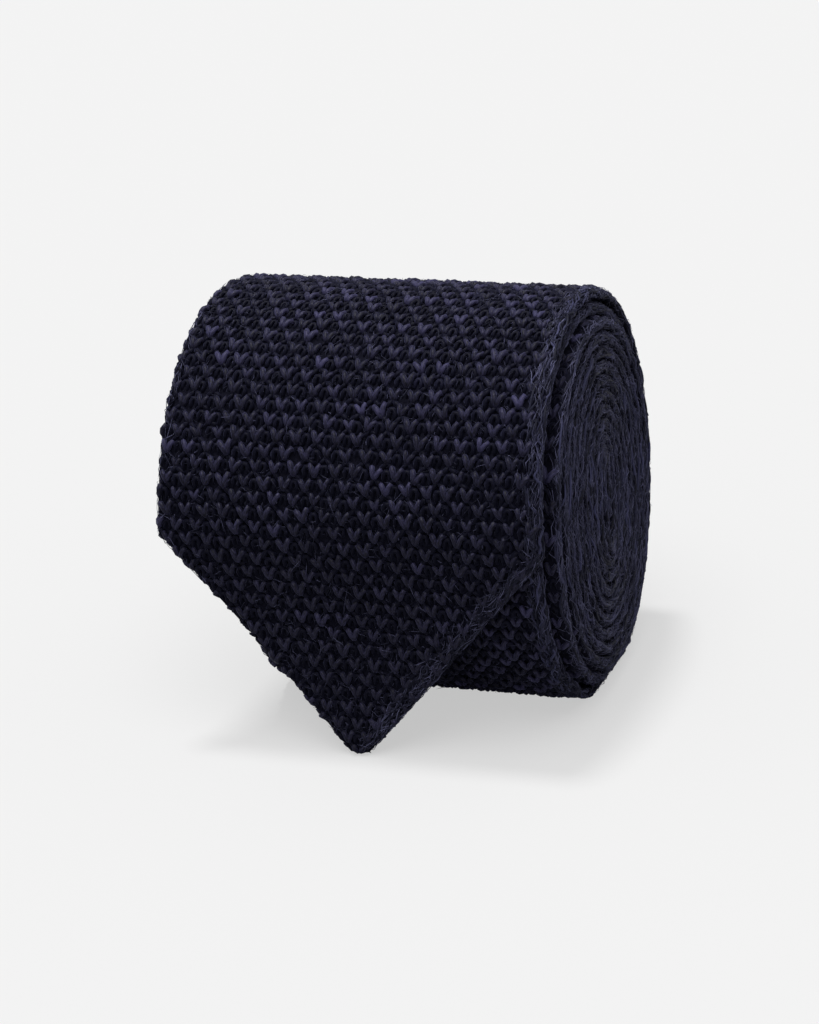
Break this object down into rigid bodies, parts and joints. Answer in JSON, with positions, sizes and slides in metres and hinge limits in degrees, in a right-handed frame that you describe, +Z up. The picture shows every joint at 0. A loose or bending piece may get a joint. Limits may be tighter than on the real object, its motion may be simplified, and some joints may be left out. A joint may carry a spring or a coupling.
{
  "type": "rolled knit tie",
  "caption": "Knitted necktie rolled up on its side, with its pointed wide end hanging down the front of the roll.",
  "frame": {"origin": "on the surface the roll rests on, under the middle of the roll and its hanging point", "axes": "+X along the roll's axis towards the flush end of the turns, -Y towards the hanging point, +Z up"},
  "size_m": [0.0664, 0.0636, 0.0656],
  "materials": {
    "navy_knit": "dark navy heathered yarn in a raised half-drop knit, matt with a soft sheen and short fuzz"
  },
  "bodies": {
    "root": {"front_blade": "navy_knit", "neck_band": "navy_knit", "tail": "navy_knit"}
  },
  "joints": []
}
